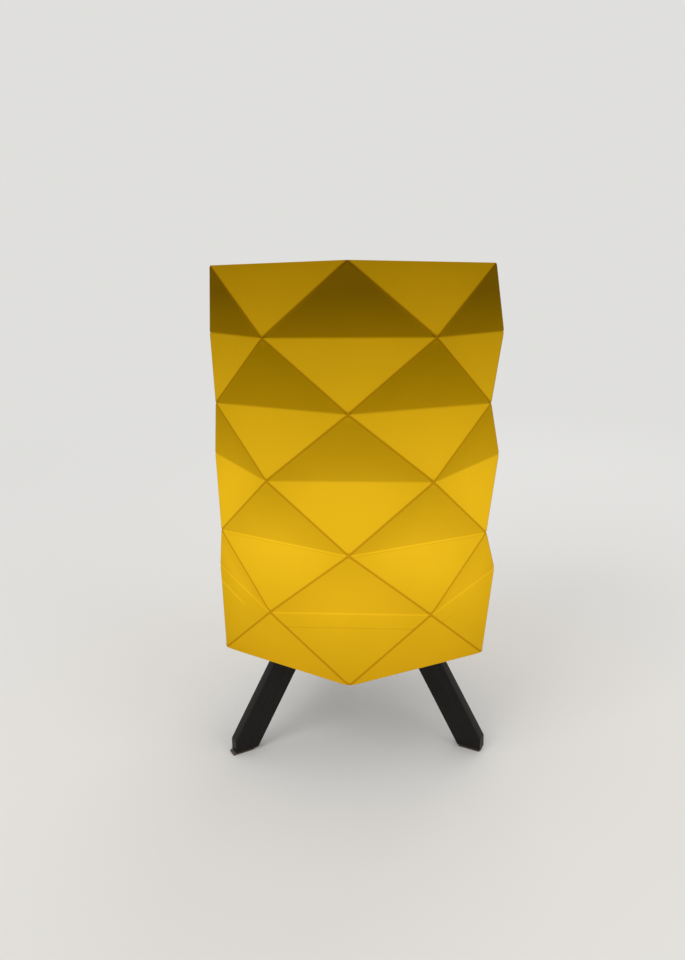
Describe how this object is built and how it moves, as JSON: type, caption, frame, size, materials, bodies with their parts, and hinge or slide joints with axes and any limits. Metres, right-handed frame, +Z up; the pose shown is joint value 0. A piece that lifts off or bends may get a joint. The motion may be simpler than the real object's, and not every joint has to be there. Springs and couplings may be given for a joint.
{
  "type": "table lamp",
  "caption": "Table lamp with a folded six-sided shade of triangles, glowing yellow, on a black splayed tripod.",
  "frame": {"origin": "on the floor, on the lamp's vertical axis", "axes": "+Z up, -Y towards the shade's front ridge line, +X to the right seen from the front"},
  "size_m": [0.2, 0.2, 0.3287],
  "materials": {
    "shade": "translucent yellow sheet, satin",
    "ring_card": "matt",
    "plate_paint": "satin",
    "black_wood": "satin black stain",
    "foot_felt": "felt",
    "zinc_steel": "zinc plated",
    "holder_plastic": "satin",
    "insert_plastic": "matt",
    "nickel": "bright",
    "contact_brass": "satin",
    "solder": "bright",
    "cone_glass": "gloss",
    "bulb_plastic": "satin",
    "opal_globe": "opal, satin",
    "board_metal": "white coated",
    "diode": "gloss",
    "circuit_board": "satin",
    "component_plastic": "satin"
  },
  "bodies": {
    "lamp_base": {"base_plate": "plate_paint", "leg_hub": "black_wood", "leg_back": "black_wood", "leg_front_left": "black_wood", "leg_front_right": "black_wood", "pad_back": "foot_felt", "pad_front_left": "foot_felt", "pad_front_right": "foot_felt", "plate_screws": "zinc_steel", "nipple": "zinc_steel", "nipple_washer": "zinc_steel", "nipple_nut": "zinc_steel", "cord_bush": "holder_plastic", "holder_cap": "holder_plastic", "holder_shell": "holder_plastic", "holder_insert": "insert_plastic", "thread_shell": "nickel", "centre_contact": "contact_brass", "terminal_blocks": "contact_brass", "terminal_screws": "zinc_steel"},
    "shade": {"shade_sheet": "shade", "stiffener_ring": "ring_card"},
    "bulb_tip": {"bulb_tip": "solder"},
    "bulb": {"bulb_insulator": "cone_glass", "bulb_cap": "nickel", "bulb_body": "bulb_plastic", "bulb_globe": "opal_globe", "led_board": "board_metal", "led_chips": "diode", "driver_board": "circuit_board", "driver_parts": "component_plastic"}
  },
  "joints": [
    {"name": "shade_lift", "type": "slide", "parent": "lamp_base", "child": "shade", "axis": [0, 0, 1], "range_m": [0, 0.12]},
    {"name": "bulb_rise", "type": "slide", "parent": "lamp_base", "child": "bulb_tip", "axis": [0, 0, 1], "range_m": [0, 0.0128]},
    {"name": "bulb_turn", "type": "hinge", "parent": "bulb_tip", "child": "bulb", "pos_m": [0, 0, 0.1], "axis": [0, 0, 1], "range_deg": [0, 1620]}
  ],
  "couplings": [
    {"joint": "bulb_rise", "follows": "bulb_turn", "m_per_rad": 0.00044913}
  ]
}
